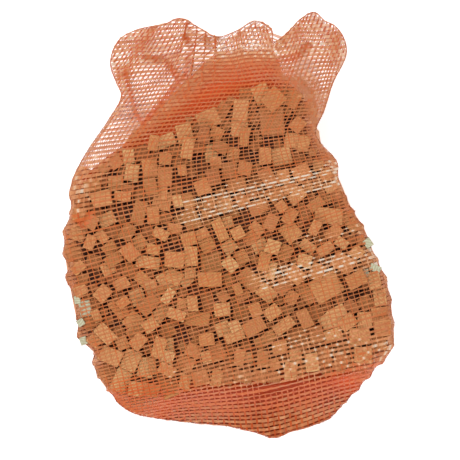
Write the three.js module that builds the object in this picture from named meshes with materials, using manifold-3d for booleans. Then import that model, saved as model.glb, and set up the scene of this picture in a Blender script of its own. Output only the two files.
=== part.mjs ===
// A net sack packed tight with kindling, lying on its back so that the sawn ends of the sticks face up.
// Millimetres. +Z is up, +Y points to the mouth of the sack, and the floor under its middle is the origin.
// The net is a thin bag: a back panel, side walls, a gathered mouth with two ears and a slack tail.
// Its see-through front is left open, so the bundle of sticks shows.

import * as THREE from 'three';
import { mergeVertices } from 'three/addons/utils/BufferGeometryUtils.js';
import Module from 'manifold-3d';

// Sticks
const STICK_LENGTH = 170;
const STICK_LENGTH_SPREAD = 7;
const SHORT_SIDE_MIN = 15;
const SHORT_SIDE_MAX = 22;
const LONG_SIDE_RATIO_MAX = 1.5;
const LONGEST_SIDE = 29;
const TURNED_SHARE = 0.5;
const THINNEST_SIDE = 9;
const STICK_LAP = 1.8;
const STICK_OVERHANG = 1.5;
const CORNER_CUT_SHARE = 0.12;
const END_TILT_MAX = 0.13;
const RIM_DROP = 10;
const RIM_WIDTH = 26;
const ROW_TURN = 0.55;
const ROW_TURN_WAVE = 62;
const ROW_TURN_SKEW = 0.65;
const TURN_SPREAD = 0.34;
const FILL_SHARE = 0.98;
const PIT_SHARE = 0.05;
const PIT_RIM = 30;

// Solid middle of the bundle that carries the sticks
const CORE_INSET = 6;
const CORE_DEPTH_BELOW_ENDS = 24;

// Net
const NET_THICKNESS = 1.2;
const WALL_THICKNESS = 2;
const CLEARANCE = 0.4;
const WALL_HEIGHT = 160;
const MOUTH_HEIGHT = 62;
const TAIL_HEIGHT = 72;
const MOUTH_RUN = 96;
const TAIL_RUN = 52;
const SLACK_CURVE = 1.4;
const SLACK_THICKNESS = 11;
const PLEAT_HEIGHT = 9;
const PLEAT_COUNT = 34;
const BUNDLE_COLUMNS = 100;
const NET_COLUMNS = 200;
const NET_RINGS = 7;
const RING_START = 0.5;

// Layout rule
const SEED = 41;
const SAMPLE_STEP = 3;
const SETTLE_ROUNDS = 24;
const PUSH_ROUNDS = 90;
const PULL_STEP = 2;
const SHRINK_STEP = 0.985;
const PRESS_ROUNDS = 12;
const PRESS_STEP = 0.8;
const GROW_ROUNDS = 16;
const GROW_STEP = 1.02;

// Outline of the bundle, seen from above, counter-clockwise from the shoulder at the right of the mouth.
const BUNDLE_POINTS = [
  [93, 101], [80, 149], [48, 162], [6, 151], [-38, 130], [-86, 105], [-138, 74], [-174, 36], [-177, 10],
  [-184, -20], [-181, -52], [-176, -80], [-170, -110], [-165, -130], [-151, -145], [-149, -166],
  [-136, -186], [-110, -206], [-60, -191], [60, -179], [150, -165], [184, -138], [184, -100],
  [177, -66], [164, -36], [151, -4], [137, 18], [121, 54],
];

// Outline of the net, the same way round: right ear, middle flap, left ear, left side, tail, right side.
const SACK_POINTS = [
  [100, 105], [111, 133], [121, 164], [138, 200], [136, 217], [125, 233], [113, 240], [101, 250],
  [84, 241], [72, 228], [58, 215], [52, 213], [50, 229], [31, 239], [10, 227], [-14, 220],
  [-34, 231], [-57, 243], [-77, 235], [-108, 229], [-129, 217], [-139, 190], [-131, 166], [-125, 151],
  [-140, 121], [-163, 86], [-180, 51], [-183, 34], [-181, 14], [-189, -4], [-189, -38], [-185, -48],
  [-187, -66], [-179, -80], [-174, -112], [-174, -127], [-169, -136], [-155, -142], [-156, -163],
  [-143, -184], [-118, -213], [-60, -229], [-2, -236], [30, -243], [54, -250], [72, -243], [97, -236],
  [118, -228], [131, -213], [156, -184], [172, -163], [187, -147], [190, -123], [188, -100],
  [183, -66], [170, -38], [156, -4], [143, 17], [126, 54], [125, 72], [107, 93],
];

const WOOD_COLOR = 0xc99660;
const NET_COLOR = 0xd9763f;

const wasm = await Module();
wasm.setup();

// Seeded draws, so that every build lays the same sticks.
THREE.MathUtils.seededRandom(SEED);
const draw = (low, high) => low + (high - low) * THREE.MathUtils.seededRandom();

function closedCurve(points) {
  const corners = points.map(([x, y]) => new THREE.Vector3(x, y, 0));
  return new THREE.CatmullRomCurve3(corners, true, 'centripetal');
}

function outline(points, count) {
  const spaced = closedCurve(points).getSpacedPoints(count).slice(0, count);
  return spaced.map((point) => new THREE.Vector2(point.x, point.y));
}

// The outline moved in or out along the rays from the middle.
function grown(ring, distance) {
  return ring.map((point) => point.clone().setLength(point.length() + distance));
}

function isInside(ring, x, y) {
  let inside = false;
  ring.forEach((a, index) => {
    const b = ring[(index + 1) % ring.length];
    const crosses = (a.y > y) !== (b.y > y);
    if (crosses && x < a.x + ((y - a.y) * (b.x - a.x)) / (b.y - a.y)) {
      inside = !inside;
    }
  });
  return inside;
}

function distanceToRing(ring, x, y) {
  const point = new THREE.Vector3(x, y, 0);
  const nearest = new THREE.Vector3();
  let least = Infinity;
  ring.forEach((a, index) => {
    const b = ring[(index + 1) % ring.length];
    const edge = new THREE.Line3(new THREE.Vector3(a.x, a.y, 0), new THREE.Vector3(b.x, b.y, 0));
    edge.closestPointToPoint(point, true, nearest);
    least = Math.min(least, nearest.distanceTo(point));
  });
  return least;
}

function ringArea(ring) {
  return Math.abs(THREE.ShapeUtils.area(ring));
}

// The grid of points inside the bundle that the sticks share out among themselves.
function samplePoints(ring) {
  const bounds = new THREE.Box2().setFromPoints(ring);
  const samples = [];
  for (let x = bounds.min.x; x <= bounds.max.x; x += SAMPLE_STEP) {
    for (let y = bounds.min.y; y <= bounds.max.y; y += SAMPLE_STEP) {
      if (isInside(ring, x, y)) {
        samples.push(new THREE.Vector2(x, y));
      }
    }
  }
  return samples;
}

// Sticks of drawn sizes at drawn places, enough of them to fill the outline.
function looseSticks(ring, samples) {
  const sticks = [];
  let used = 0;
  while (used < ringArea(ring) * FILL_SHARE) {
    const short = draw(SHORT_SIDE_MIN, SHORT_SIDE_MAX);
    const long = short * draw(1, LONG_SIDE_RATIO_MAX);
    const turned = draw(0, 1) < TURNED_SHARE;
    const width = turned ? long : short;
    const height = turned ? short : long;
    const place = samples[Math.floor(draw(0, samples.length))];
    sticks.push({ x: place.x, y: place.y, width, height, spin: draw(-TURN_SPREAD, TURN_SPREAD) });
    used += (width - STICK_LAP) * (height - STICK_LAP);
  }
  return sticks;
}

// The sticks lie in rough rows whose direction wanders over the face.
function turnOf(stick) {
  const sideways = Math.sin((stick.x - ROW_TURN_SKEW * stick.y) / ROW_TURN_WAVE);
  const upward = Math.cos((stick.y + ROW_TURN_SKEW * stick.x) / ROW_TURN_WAVE);
  return stick.spin + ROW_TURN * (sideways + upward);
}

// Each stick moves to the middle of the points that lie nearest to it, measured along its own sides.
function settle(sticks, samples) {
  for (let round = 0; round < SETTLE_ROUNDS; round += 1) {
    const frames = sticks.map((stick) => {
      const turn = turnOf(stick);
      return { cos: Math.cos(turn), sin: Math.sin(turn), sumX: 0, sumY: 0, count: 0 };
    });
    for (const sample of samples) {
      let nearest = 0;
      let least = Infinity;
      sticks.forEach((stick, index) => {
        const dx = sample.x - stick.x;
        const dy = sample.y - stick.y;
        const { cos, sin } = frames[index];
        const along = Math.abs(dx * cos + dy * sin) / stick.width;
        const across = Math.abs(dy * cos - dx * sin) / stick.height;
        const distance = Math.max(along, across);
        if (distance < least) {
          least = distance;
          nearest = index;
        }
      });
      frames[nearest].sumX += sample.x;
      frames[nearest].sumY += sample.y;
      frames[nearest].count += 1;
    }
    sticks.forEach((stick, index) => {
      const { sumX, sumY, count } = frames[index];
      if (count > 0) {
        stick.x = sumX / count;
        stick.y = sumY / count;
      }
    });
  }
}

function cornersOf(stick) {
  const turn = turnOf(stick);
  const signs = [[-1, -1], [1, -1], [1, 1], [-1, 1]];
  return signs.map(([sx, sy]) => {
    const corner = new THREE.Vector2((sx * stick.width) / 2, (sy * stick.height) / 2);
    return corner.rotateAround(new THREE.Vector2(), turn).add(new THREE.Vector2(stick.x, stick.y));
  });
}

function spanAlong(corners, axis) {
  const reach = corners.map((corner) => corner.dot(axis));
  return [Math.min(...reach), Math.max(...reach)];
}

// The shortest move that parts two sticks as far as their lap, or null where they are that far apart.
function partingMove(first, second) {
  const reach = Math.hypot(first.width, first.height) + Math.hypot(second.width, second.height);
  if (Math.hypot(first.x - second.x, first.y - second.y) > reach / 2) {
    return null;
  }
  const firstCorners = cornersOf(first);
  const secondCorners = cornersOf(second);
  let best = null;
  for (const stick of [first, second]) {
    for (const quarter of [0, Math.PI / 2]) {
      const turn = turnOf(stick) + quarter;
      const axis = new THREE.Vector2(Math.cos(turn), Math.sin(turn));
      const [low, high] = spanAlong(firstCorners, axis);
      const [otherLow, otherHigh] = spanAlong(secondCorners, axis);
      const forward = high - STICK_LAP - otherLow;
      const back = otherHigh - STICK_LAP - low;
      if (forward <= 0 || back <= 0) {
        return null;
      }
      const depth = Math.min(forward, back);
      if (!best || depth < best.depth) {
        best = { depth, axis: axis.multiplyScalar(forward < back ? 1 : -1) };
      }
    }
  }
  return best;
}

function touchingPairs(sticks) {
  const pairs = [];
  sticks.forEach((first, index) => {
    for (const second of sticks.slice(index + 1)) {
      const move = partingMove(first, second);
      if (move) {
        pairs.push({ first, second, move });
      }
    }
  });
  return pairs;
}

// True for a stick with a corner outside the ring.
function isProud(stick, ring) {
  return cornersOf(stick).some(({ x, y }) => !isInside(ring, x, y));
}

function pushApart(sticks, ring) {
  for (let round = 0; round < PUSH_ROUNDS; round += 1) {
    for (const { first, second, move } of touchingPairs(sticks)) {
      const half = move.axis.clone().multiplyScalar(move.depth / 2);
      first.x -= half.x;
      first.y -= half.y;
      second.x += half.x;
      second.y += half.y;
    }
    for (const stick of sticks) {
      if (isProud(stick, ring)) {
        const inward = 1 - PULL_STEP / Math.hypot(stick.x, stick.y);
        stick.x *= inward;
        stick.y *= inward;
      }
    }
  }
}

// What still touches, or reaches out of the net, is made smaller, and a stick left too thin is taken out.
function shrinkToFit(sticks, ring) {
  let kept = sticks;
  let tight = sticks;
  while (tight.length > 0) {
    const touching = touchingPairs(kept).flatMap(({ first, second }) => [first, second]);
    const proud = kept.filter((stick) => isProud(stick, ring));
    tight = [...new Set([...touching, ...proud])];
    for (const stick of tight) {
      stick.width *= SHRINK_STEP;
      stick.height *= SHRINK_STEP;
    }
    kept = kept.filter((stick) => Math.min(stick.width, stick.height) > THINNEST_SIDE);
  }
  return kept;
}

// True where a stick laps a neighbour too far or has a corner outside the ring.
function isTight(stick, sticks, ring) {
  return isProud(stick, ring) || sticks.some((other) => other !== stick && partingMove(stick, other));
}

// The sticks near the rim press outward against the net.
function pressOutward(sticks, ring) {
  const rim = sticks.filter((stick) => distanceToRing(ring, stick.x, stick.y) < RIM_WIDTH);
  for (let round = 0; round < PRESS_ROUNDS; round += 1) {
    for (const stick of rim) {
      const { x, y } = stick;
      const outward = 1 + PRESS_STEP / Math.hypot(x, y);
      stick.x *= outward;
      stick.y *= outward;
      if (isTight(stick, sticks, ring)) {
        Object.assign(stick, { x, y });
      }
    }
  }
}

// Each stick takes the room that is left beside it, until it meets its neighbours or the net.
function growToFill(sticks, ring) {
  for (let round = 0; round < GROW_ROUNDS; round += 1) {
    for (const stick of sticks) {
      for (const side of ['width', 'height']) {
        const before = stick[side];
        stick[side] = Math.max(before, Math.min(before * GROW_STEP, LONGEST_SIDE));
        if (isTight(stick, sticks, ring)) {
          stick[side] = before;
        }
      }
    }
  }
}

function layOutSticks(ring) {
  const samples = samplePoints(ring);
  const sticks = looseSticks(ring, samples);
  const reach = grown(ring, STICK_OVERHANG);
  settle(sticks, samples);
  pushApart(sticks, reach);
  const kept = shrinkToFit(sticks, reach);
  pressOutward(kept, reach);
  growToFill(kept, reach);
  return kept.filter((stick) => distanceToRing(ring, stick.x, stick.y) < PIT_RIM || draw(0, 1) > PIT_SHARE);
}

// A split stick isn't a true rectangle: each corner is drawn in by its own share.
function splitCorners(stick) {
  const middle = new THREE.Vector2(stick.x, stick.y);
  return cornersOf(stick).map((corner) => corner.lerp(middle, draw(0, CORNER_CUT_SHARE)));
}

function toSolid(geometry) {
  const bare = geometry.index ? geometry.toNonIndexed() : geometry;
  bare.deleteAttribute('normal');
  bare.deleteAttribute('uv');
  const merged = mergeVertices(bare);
  const vertProperties = new Float32Array(merged.attributes.position.array);
  const triVerts = new Uint32Array(merged.index.array);
  return new wasm.Manifold(new wasm.Mesh({ numProp: 3, vertProperties, triVerts }));
}

function toGeometry(solid) {
  const { vertProperties, triVerts } = solid.getMesh();
  const geometry = new THREE.BufferGeometry();
  geometry.setAttribute('position', new THREE.BufferAttribute(new Float32Array(vertProperties), 3));
  geometry.setIndex(new THREE.BufferAttribute(new Uint32Array(triVerts), 1));
  geometry.computeVertexNormals();
  return geometry;
}

function prism(ring, bottom, top) {
  const options = { depth: top - bottom, bevelEnabled: false };
  return new THREE.ExtrudeGeometry(new THREE.Shape(ring), options).translate(0, 0, bottom);
}

// One stick: a four-sided prism whose sawn end is a little off square.
function stickSolid(stick, ring, bottom) {
  const edgeShare = Math.min(1, distanceToRing(ring, stick.x, stick.y) / RIM_WIDTH);
  const drop = RIM_DROP * (1 - edgeShare) ** 2;
  const top = bottom + STICK_LENGTH - drop + draw(-STICK_LENGTH_SPREAD, STICK_LENGTH_SPREAD);
  const tiltX = draw(-END_TILT_MAX, END_TILT_MAX);
  const tiltY = draw(-END_TILT_MAX, END_TILT_MAX);
  const geometry = prism(splitCorners(stick), bottom, top);
  const position = geometry.attributes.position;
  for (let index = 0; index < position.count; index += 1) {
    if (position.getZ(index) > (bottom + top) / 2) {
      const lift = tiltX * (position.getX(index) - stick.x) + tiltY * (position.getY(index) - stick.y);
      position.setZ(index, top + lift);
    }
  }
  return toSolid(geometry);
}

function firewoodGeometry(ring) {
  const bottom = NET_THICKNESS + CLEARANCE;
  const coreTop = bottom + STICK_LENGTH - CORE_DEPTH_BELOW_ENDS;
  const core = toSolid(prism(grown(ring, -CORE_INSET), bottom, coreTop));
  const sticks = layOutSticks(ring).map((stick) => stickSolid(stick, ring, bottom));
  return toGeometry(sticks.reduce((bundle, stick) => bundle.add(stick), core));
}

// How far the net's front is lifted at a place, as a share: 1 at the bundle, 0 where the net lies flat.
function slackShare(wallRing, x, y) {
  const run = y > 0 ? MOUTH_RUN : TAIL_RUN;
  const away = isInside(wallRing, x, y) ? 0 : distanceToRing(wallRing, x, y);
  return Math.max(0, 1 - away / run) ** SLACK_CURVE;
}

// The net outside the bundle: its front and back slope together to the gathered mouth and the tail.
function slackNet(wallRing, sackRing) {
  const positions = [];
  const count = sackRing.length;
  const column = (index) => ((index % count) + count) % count;
  const corner = (index, share, side) => {
    const { x, y } = sackRing[column(index)].clone().multiplyScalar(share);
    const full = slackShare(wallRing, x, y);
    const level = y > 0 ? MOUTH_HEIGHT : TAIL_HEIGHT;
    const pleat = PLEAT_HEIGHT * (1 - full) * Math.sin((2 * Math.PI * PLEAT_COUNT * column(index)) / count);
    const half = SLACK_THICKNESS / 2;
    const low = (level - half + pleat) * (1 - full);
    const high = (level + half + pleat) * (1 - full) + WALL_HEIGHT * full;
    return [x, y, side > 0 ? high : low];
  };
  const quad = (a, b, c, d) => positions.push(...a, ...b, ...c, ...a, ...c, ...d);
  const shareOf = (step) => RING_START + ((1 - RING_START) * step) / NET_RINGS;
  const patch = (a, b, inner, outer, side) => {
    quad(corner(a, inner, side), corner(a, outer, side), corner(b, outer, side), corner(b, inner, side));
  };
  const band = (a, b, share) => {
    quad(corner(a, share, 1), corner(a, share, -1), corner(b, share, -1), corner(b, share, 1));
  };
  for (let index = 0; index < count; index += 1) {
    const next = index + 1;
    for (let step = 0; step < NET_RINGS; step += 1) {
      patch(index, next, shareOf(step), shareOf(step + 1), 1);
      patch(next, index, shareOf(step), shareOf(step + 1), -1);
    }
    band(index, next, 1);
    band(next, index, RING_START);
  }
  const geometry = new THREE.BufferGeometry();
  geometry.setAttribute('position', new THREE.Float32BufferAttribute(positions, 3));
  return toSolid(geometry);
}

function netGeometry(ring, sackRing) {
  const envelope = grown(ring, STICK_OVERHANG + CLEARANCE);
  const bay = toSolid(prism(envelope, NET_THICKNESS, STICK_LENGTH * 2));
  const wallRing = grown(envelope, WALL_THICKNESS);
  const bag = toSolid(prism(wallRing, 0, WALL_HEIGHT));
  return toGeometry(slackNet(wallRing, sackRing).add(bag).subtract(bay));
}

function namedMesh(name, geometry, color, roughness) {
  const material = new THREE.MeshStandardMaterial({ color, roughness, metalness: 0 });
  const mesh = new THREE.Mesh(geometry, material);
  mesh.name = name;
  return mesh;
}

const bundleRing = outline(BUNDLE_POINTS, BUNDLE_COLUMNS);
const sackRing = outline(SACK_POINTS, NET_COLUMNS);

const sack = new THREE.Group();
sack.add(namedMesh('firewood', firewoodGeometry(bundleRing), WOOD_COLOR, 0.85));
sack.add(namedMesh('net', netGeometry(bundleRing, sackRing), NET_COLOR, 0.45));

const bounds = new THREE.Box3().setFromObject(sack);
const middle = bounds.getCenter(new THREE.Vector3());
sack.position.set(-middle.x, -middle.y, -bounds.min.z);

const part = new THREE.Group();
part.add(sack);

export default part;
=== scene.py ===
"""A net sack of kindling, lying on its back: woven tapes of the net over the sticks of the bundle.

The sticks follow the sawn ends of the firewood solid, and the net follows the form of the net solid:
a tight film over the stick ends, side walls, a gathered mouth with two ears, and a slack tail.
Lengths are in millimetres until a mesh is made, and the frame is in metres.
"""

import math
from collections import namedtuple

import bpy
import numpy as np
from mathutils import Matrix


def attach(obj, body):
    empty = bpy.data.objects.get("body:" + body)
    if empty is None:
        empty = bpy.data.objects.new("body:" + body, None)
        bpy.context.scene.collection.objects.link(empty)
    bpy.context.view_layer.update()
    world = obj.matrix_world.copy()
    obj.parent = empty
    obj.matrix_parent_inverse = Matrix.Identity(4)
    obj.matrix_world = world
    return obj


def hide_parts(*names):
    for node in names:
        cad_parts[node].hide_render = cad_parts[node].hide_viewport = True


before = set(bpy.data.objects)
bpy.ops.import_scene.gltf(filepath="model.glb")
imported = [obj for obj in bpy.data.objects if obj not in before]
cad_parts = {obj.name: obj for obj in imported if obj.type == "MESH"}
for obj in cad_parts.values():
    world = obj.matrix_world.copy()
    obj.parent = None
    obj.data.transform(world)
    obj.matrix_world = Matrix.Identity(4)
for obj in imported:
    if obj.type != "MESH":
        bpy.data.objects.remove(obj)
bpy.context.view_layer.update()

MM = 0.001
UP = np.array([0.0, 0.0, 1.0])
SEED = 7

# Outlines seen from above, counter-clockwise, as in the solids.
BUNDLE_POINTS = [
    (93, 101), (80, 149), (48, 162), (6, 151), (-38, 130), (-86, 105), (-138, 74), (-174, 36), (-177, 10),
    (-184, -20), (-181, -52), (-176, -80), (-170, -110), (-165, -130), (-151, -145), (-149, -166),
    (-136, -186), (-110, -206), (-60, -191), (60, -179), (150, -165), (184, -138), (184, -100),
    (177, -66), (164, -36), (151, -4), (137, 18), (121, 54),
]
SACK_POINTS = [
    (100, 105), (111, 133), (121, 164), (138, 200), (136, 217), (125, 233), (113, 240), (101, 250),
    (84, 241), (72, 228), (58, 215), (52, 213), (50, 229), (31, 239), (10, 227), (-14, 220),
    (-34, 231), (-57, 243), (-77, 235), (-108, 229), (-129, 217), (-139, 190), (-131, 166), (-125, 151),
    (-140, 121), (-163, 86), (-180, 51), (-183, 34), (-181, 14), (-189, -4), (-189, -38), (-185, -48),
    (-187, -66), (-179, -80), (-174, -112), (-174, -127), (-169, -136), (-155, -142), (-156, -163),
    (-143, -184), (-118, -213), (-60, -229), (-2, -236), (30, -243), (54, -250), (72, -243), (97, -236),
    (118, -228), (131, -213), (156, -184), (172, -163), (187, -147), (190, -123), (188, -100),
    (183, -66), (170, -38), (156, -4), (143, 17), (126, 54), (125, 72), (107, 93),
]
OUTLINE_COUNT = 600
CURVE_STEPS = 20

# Points measured at once, and a length that is nearly nothing.
CHUNK = 4000
TINY = 1e-9

# Bumps of the sack's outline along the bundle, which fade out at its top and foot.
KNOB_RUN = 7
KNOB_DEPTH = 3.5
KNOB_TOP = (60, 20)
KNOB_FOOT = (-215, -190)
KNOB_SWAY = 1.2
KNOB_SWAY_RUN = 47

# Form of the net, as in the solids.
WALL_OFFSET = 3.9
WALL_HEIGHT = 160
MOUTH_HEIGHT = 62
TAIL_HEIGHT = 72
MOUTH_RUN = 96
TAIL_RUN = 52
SLACK_THICKNESS = 11
SLACK_POWER = 1.4
BACK_LIFT = 0.9

# Weave of the net.
WARP_PITCH = 6.5
WEFT_PITCH = 4.4
WEFT_PITCH_MOUTH = 4.6
WEFT_PITCH_TAIL = 4.0
WARP_WIDTH = 0.95
WEFT_WIDTH = 1.45
WARP_WIDENING = 0.85
WEFT_WIDENING = 0.5
WARP_CLOSING = 1.2
WEAVE_LIFT = 0.3
WIDTH_SPREAD = (0.75, 1.25)
PITCH_LIMITS = (0.6 * WEFT_PITCH, 2 * WEFT_PITCH)
HEM_WIDTH = 1.1
TILT_LOW = math.radians(16)
TILT_HIGH = math.radians(3)
TILT_RUN = (-40, 170)
TILT_TAIL = math.radians(8)
TILT_TAIL_RUN = (-110, -235)
SPINE_START = (-25, 0)
COLUMNS = np.arange(-380, 350, WARP_PITCH / 2)
ROW_RANGE = (-330, 262)
TAIL_FROM = -192
MOUTH_FROM = 140
LONGEST_STEP = 14
FEWEST_CROSSINGS = 3
WRAP = 8
WALL_LEAN = 0.12

# Twist of a tape: its size in radians, and the number of crossings over which it changes.
WARP_TWIST = (0.2, 6)
WEFT_TWIST = (0.15, 12)

# The outermost columns of the front run along these lines, from the shoulders into the ears.
LEFT_GUIDE = [(-183, 10), (-180, 51), (-163, 86), (-140, 121), (-112, 160), (-84, 200), (-52, 250)]
RIGHT_GUIDE = [(147, 10), (127, 52), (112, 90), (103, 112), (111, 133), (121, 164), (134, 200), (150, 250)]

# The front ends lower than the back in the middle of the mouth, where the back stands up as a flap.
FRONT_HEM_Y = 206
FRONT_HEM_X = (-12, 53)

# Folds: a line of places and half of the width of the doubled net along it.
FOLDS = [
    ([(-119, 178), (-114, 151), (-108, 129), (-100, 118)], 3.5),
    ([(-96, 119), (-65, 157), (-50, 174), (-44, 209), (-51, 223)], 4),
    ([(-97, 197), (-73, 192), (-57, 169)], 4.5),
    ([(59, 190), (79, 194), (93, 211)], 5),
    ([(-176, 10), (-166, 0), (-157, 13)], 5),
]
FLAP_FOLD = ([(-10, 218), (50, 221)], 22)
FOLD_DROP = 2
FLAP_DROP = 4
UNDER_SHIFT = (WARP_PITCH / 3, WEFT_PITCH / 2)
FLAP_SHIFT = (1, 1)
BACK_TURN = math.radians(4)
FOLD_TURN = math.radians(7)
FLAP_TURN = math.radians(38)

# Gathers of the mouth: relief, moves of the tapes, and how much folds lean in the left and right ear.
PLEAT_DEPTH = 4.5
CREASE_DEPTH = 2.5
CREASE_RUN = (19, 13)
GATHER = 3
GATHER_WAVE = 8
GATHER_Y = (130, 190)
GATHER_ALONG = 1
GATHER_ALONG_RUN = (11, 17)
EAR_LEANS = ((0.65, (0, -60)), (0.3, (30, 80)))

# Slack tail: its middle, and how far the rows hang down towards its tip.
TAIL_LINE = [(-112, -206), (-60, -211), (0, -214), (60, -218), (112, -206), (160, -172)]
TAIL_TIP = (54, -250)
TAIL_DRAPE = 24
TAIL_DRAPE_FROM = -150
TAIL_DRAPE_WIDTH = 75

# Parts where the tapes lie closer: a line, half of the width, and how nearly the tapes meet.
CLOSE_BANDS = [
    ([(-178, 18), (-165, 58), (-131, 92), (-94, 121), (-62, 148), (-40, 164)], 16, 0.62),
    ([(-40, 172), (-5, 178), (40, 180), (60, 178)], 13, 0.4),
    ([(66, 174), (86, 166), (99, 148), (104, 128), (106, 108), (118, 80)], 15, 0.72),
    ([(70, 196), (98, 214), (122, 204)], 30, 0.35),
    ([(-20, 20), (60, 44), (123, 57)], 12, 0.22),
    ([(45, -61), (100, -50), (168, -38)], 9, 0.22),
    ([(-60, -172), (20, -166), (90, -158), (165, -144)], 28, 0.26),
    (TAIL_LINE, 34, 0.42),
]
BAND_EDGE = (0.4, 1.3)
RIM_CLOSE = 0.85
RIM_SLACK = 0.4
RIM_REACH = (2, 13)
FOLD_CLOSE = 0.6

# Parts where the tapes have a deeper colour: doubled net, and painted shade in the middle of the mouth and
# down the tail.
DEEP_AND_SHADED_BANDS = [
    ([(-40, 160), (-5, 168), (40, 170), (60, 168)], 24, 0.12),
    (TAIL_LINE, 34, 0.27),
    ([(30, -232), (60, -240)], 12, 0.25),
]
# Folds: deeper colour of the doubled net, with painted shade in the crease.
FOLD_DEPTH_AND_SHADE = 0.3

# Doubled net beside the bundle: the outer edge of each part, the number of places along it, and tones
# at the bundle and at the edge. A third part follows the sack's rim.
# The strips are opaque; their darker tones stand in as painted shade of the net layers beneath.
DOUBLED_PARTS = [
    ([(64, 170), (60, 188), (52, 202), (20, 204), (-10, 202), (-28, 190), (-45, 175), (-62, 157),
      (-79, 142), (-100, 119), (-122, 93), (-143, 66), (-160, 44)], 60, (0.3, 1.0)),
    ([(127, 58), (125, 74), (110, 92), (104, 112), (104, 136), (98, 158), (84, 172), (64, 174)],
     40, (0.9, 1.0)),
]
# Painted shade: the rim's strips are dark at the tail and lighter at the sides.
RIM_TAIL_SHADE_TONES = (0.13, 0.02)
RIM_SIDE_TONES = (0.95, 1.0)
RIM_SIDE_Y = (-215, -165)
RIM_SIDE_X = (-60, -100)
FILM_STEPS = 16
FILM_OFFSET = 1
SKIRT_DEPTH = 16
SKIRT_HEIGHT = 146.5
DOUBLED_DROP = 13
EDGE_WAVER = 2.5
EDGE_WAVER_RUN = 2
RIM_DOUBLED_TOP = 70

# Painted sheen: bands where the net is drawn tight and its tapes are painted paler as highlights: a line,
# half of the width, and strength.
PAINTED_SHEEN_BANDS = [
    ([(-45, 12), (0, 28), (60, 44), (123, 57)], 17, 1.4),
    ([(36, -63), (100, -50), (168, -38)], 13, 1.6),
    ([(80, -18), (150, -5)], 6, 0.8),
    ([(70, -146), (110, -143), (165, -140)], 26, 0.85),
    ([(-176, 26), (-162, 52), (-150, 66)], 17, 0.6),
    ([(-60, -178), (20, -172), (90, -163), (160, -150)], 18, 0.4),
    ([(140, -152), (176, -140)], 14, 1.0),
    ([(-10, 198), (52, 203)], 12, 0.55),
    ([(85, 49), (125, 57)], 15, 1.6),
]

# Tones of the tapes, over the bundle and where the net is slack.
WARP_TONES = ((0.2, 0.42), (0.0, 0.24))
WEFT_TONES = ((0.3, 0.44), (0.5, 0.84))
# Painted glints: random specks along the tapes painted paler, more of them where the tapes lie close.
PAINTED_GLINT_SHARE = 0.06
PAINTED_GLINT_CLOSE = 0.1
PAINTED_GLINT = 0.13
TONE_WAVER = 0.05
TIGHT_WAVER = 0.5
HEM_TONES = (0.2, 0.8)
# Painted sheen along the tapes: its least random share, its strength on a row, under a crossing and on a
# warp, and the share and strengths of rows in fine specks.
LEAST_SHINE = 0.1
ROW_SHINE = (0.4, 1.2)
UNDER_SHINE = 0.45
WARP_SHINE = 0.3
FINE_ROWS = 0.62
FINE_SHINE = (1.5, 0.35)

# Fit of the net over the stick ends.
GRID_STEP = 2.5
GRID_END = 1.001
GRID_X = np.arange(-205, 205 + GRID_STEP, GRID_STEP)
GRID_Y = np.arange(-260, 260 + GRID_STEP, GRID_STEP)
RELAX_ROUNDS = 260
SAG = 0.12
EDGE_SAG = 0.01
NET_CLEARANCE = 0.7
NET_EASE = 9
PROP_GROWTH = 1.12
NO_PROP = -1000.0

# Sawn ends that are read from the solid.
FLATTEST_END = 0.9
PLANE_STEP = 0.004
LONGEST_END = 38

# Middle of the bundle, dark with painted shade.
CORE_TOP = 152
CORE_DROP = 6
CORE_BOTTOM = 6
CORE_INSET = 6
CORE_STRIDE = 4

# Form of a stick: a ring of points at each share of its height, then the blunted edge and the sawn face.
STICK_FOOT = 1.6
STICK_GROWTH = 1.04
STICK_CLEARANCE = 2.5
STICK_BOW = 0.6
RING_SHARES = (0, 0.06, 0.3, 0.55, 0.8, 0.97)
RING_SPREAD = (0.97, 1.01)
CORNER_BLUNT = (0.02, 0.06)
EDGE_SHARE = 0.995
EDGE_DROP = 0.5
FACE_SHARE = 0.92
END_SLOPE = 0.05
END_SPREAD = 1.5

# Look of a stick: its tone is from 0, the darkest, to the palest, or bleached.
STICK_TONE = (0.5, 0.26)
PALEST = 0.9
BLEACHED = 1
BLEACHED_SIDE = 0.45
BLEACHED_LEAN = 16
# Painted shade on the sides of the sticks, darkest at the blunted edge.
SIDE_SHADE = 0.6
HUE_SPREAD = 0.5
GRAIN_SPREAD = 30
YELLOW_PLACE = (-10, -50)
YELLOW_REACH = 110
# Painted shade: sticks are darker round this place, near the mouth.
SHADED_PLACE = (-8, 68)
SHADED_REACH = 62
SHADED_DEPTH = 0.4

# Lower sticks that fill gaps, with darker tones as painted shade.
WIDEST_GAP = 2.8
FILLER_HEIGHT = (152, 158)
FILLER_REACH = 1.5
FILLER_SHADED_TONE = (0.2, 0.55)

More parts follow.
